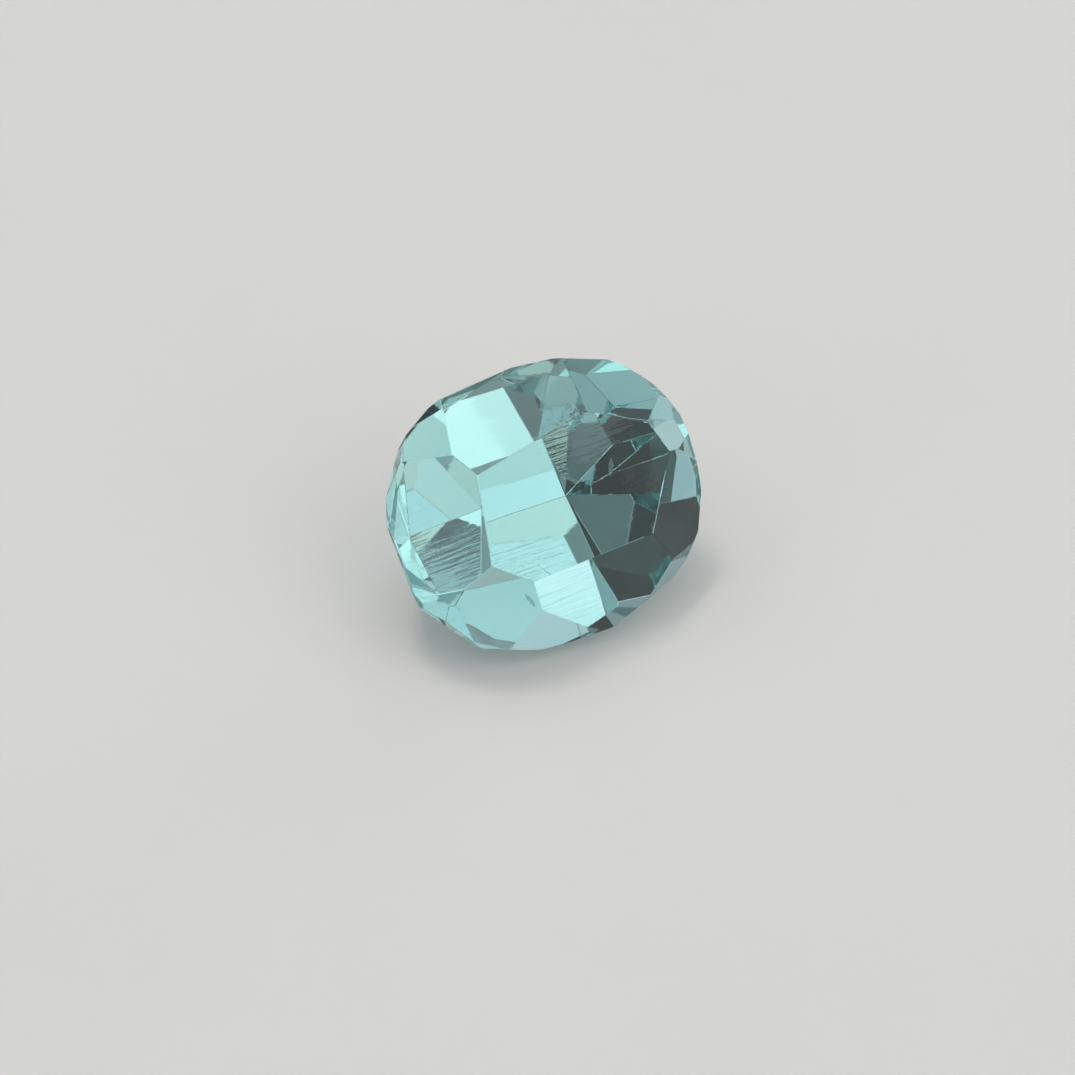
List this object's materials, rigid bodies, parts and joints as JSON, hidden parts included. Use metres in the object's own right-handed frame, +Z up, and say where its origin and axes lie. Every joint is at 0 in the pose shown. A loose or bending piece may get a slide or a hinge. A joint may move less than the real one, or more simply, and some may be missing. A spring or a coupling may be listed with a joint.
{
  "type": "faceted gemstone",
  "caption": "Loose transparent cut stone: a faceted oval cushion with a flat table and a keeled underside, lying on one of its long keel facets.",
  "frame": {"origin": "middle of the stone's box, at the level of the facet that it lies on", "axes": "+X along the stone's long axis, +Z up, with the table leaning towards -Y"},
  "size_m": [0.0114, 0.008, 0.0078],
  "materials": {
    "stone": "clear polished aqua crystal"
  },
  "bodies": {
    "root": {"gemstone": "stone"}
  },
  "joints": []
}
